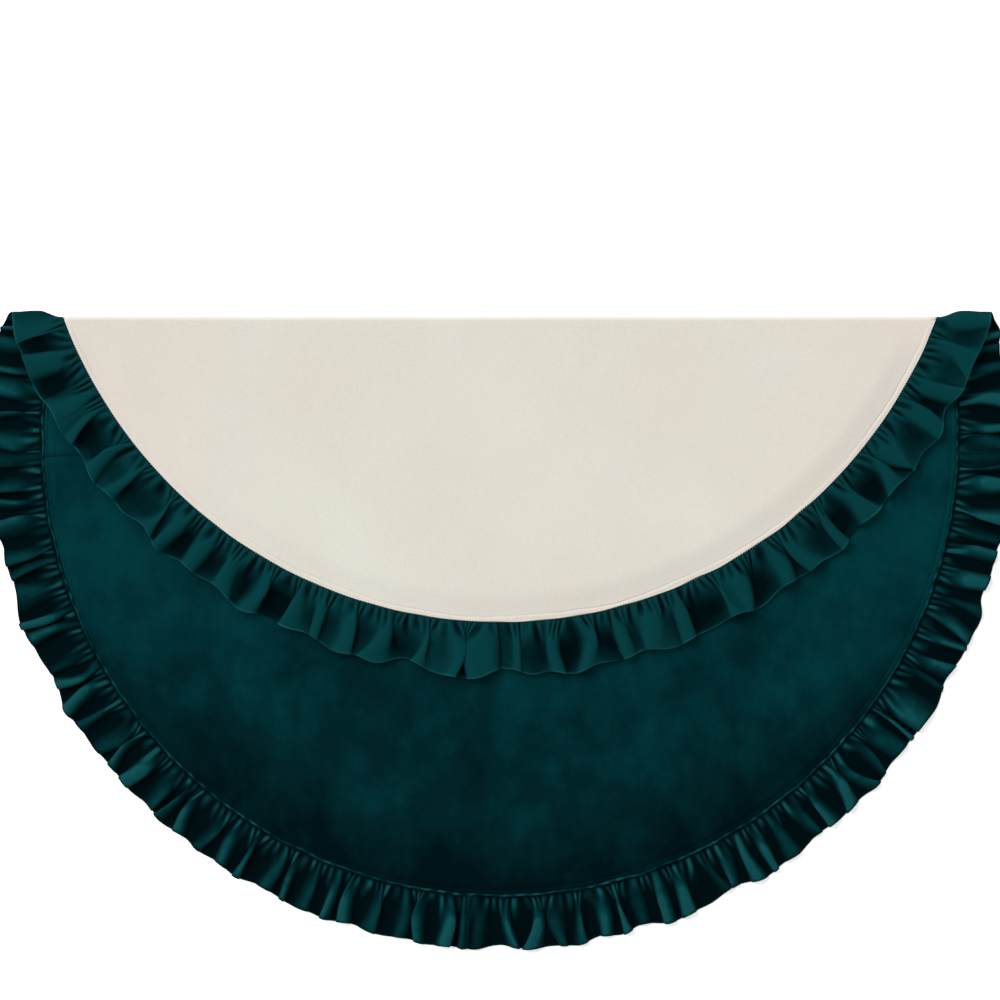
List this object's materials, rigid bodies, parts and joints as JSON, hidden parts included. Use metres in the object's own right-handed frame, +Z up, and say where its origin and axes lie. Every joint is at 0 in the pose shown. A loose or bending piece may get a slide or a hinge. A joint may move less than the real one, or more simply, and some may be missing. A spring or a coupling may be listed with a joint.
{
  "type": "tree skirt",
  "caption": "Round velvet tree skirt with a cream lining and a gathered ruffle round its edge, laid flat with its back part folded over the front to show the lining.",
  "frame": {"origin": "middle of the bounding box of the folded skirt, on the floor under it", "axes": "+Z up from the floor, +X to the right along the fold line, +Y towards the fold, so the front of the skirt is at -Y"},
  "size_m": [1.2192, 0.754, 0.0223],
  "materials": {
    "velvet": "short-pile velvet with a soft cloudy nap",
    "ruffle_velvet": "the same velvet gathered into close folds with bright crests",
    "lining": "smooth matt woven lining",
    "binding_tape": "narrow twill tape",
    "hook_tape": "fine hook tape",
    "loop_tape": "brushed loop tape"
  },
  "bodies": {
    "skirt": {"skirt_lining": "lining", "skirt_velvet": "velvet", "ruffle_left_front": "ruffle_velvet", "ruffle_right_front": "ruffle_velvet", "ruffle_right_side": "ruffle_velvet", "ruffle_left_side": "ruffle_velvet", "edge_welt_front": "velvet", "edge_welt_side": "velvet", "trunk_hole_binding": "binding_tape", "loop_patch_1": "loop_tape", "loop_patch_2": "loop_tape", "loop_patch_3": "loop_tape"},
    "fold": {"fold_lining": "lining", "fold_velvet": "velvet", "ruffle_right_fold": "ruffle_velvet", "ruffle_left_fold": "ruffle_velvet"},
    "flap": {"flap_lining": "lining", "flap_velvet": "velvet", "ruffle_left_flap": "ruffle_velvet", "ruffle_right_flap": "ruffle_velvet", "flap_edge_welt": "velvet"},
    "closure_1": {"closure_tab_1": "velvet", "hook_patch_1": "hook_tape"},
    "closure_2": {"closure_tab_2": "velvet", "hook_patch_2": "hook_tape"},
    "closure_3": {"closure_tab_3": "velvet", "hook_patch_3": "hook_tape"}
  },
  "joints": [
    {"name": "fold_lower", "type": "hinge", "parent": "skirt", "child": "fold", "pos_m": [0, 0.374, 0.003], "axis": [-1, 0, 0], "range_deg": [0, 90]},
    {"name": "fold_upper", "type": "hinge", "parent": "fold", "child": "flap", "pos_m": [0, 0.374, 0.0193], "axis": [-1, 0, 0], "range_deg": [0, 90]},
    {"name": "tab_hinge_1", "type": "hinge", "parent": "skirt", "child": "closure_1", "pos_m": [-0.11007, 0.23199, 0.0033], "axis": [-0.9991, -0.0419, 0], "range_deg": [0, 90]},
    {"name": "tab_hinge_2", "type": "hinge", "parent": "skirt", "child": "closure_2", "pos_m": [-0.24995, 0.22613, 0.0033], "axis": [-0.9991, -0.0419, 0], "range_deg": [0, 90]},
    {"name": "tab_hinge_3", "type": "hinge", "parent": "skirt", "child": "closure_3", "pos_m": [-0.38982, 0.22026, 0.0033], "axis": [-0.9991, -0.0419, 0], "range_deg": [0, 90]}
  ],
  "couplings": [
    {"joint": "fold_upper", "follows": "fold_lower", "ratio": 1}
  ]
}
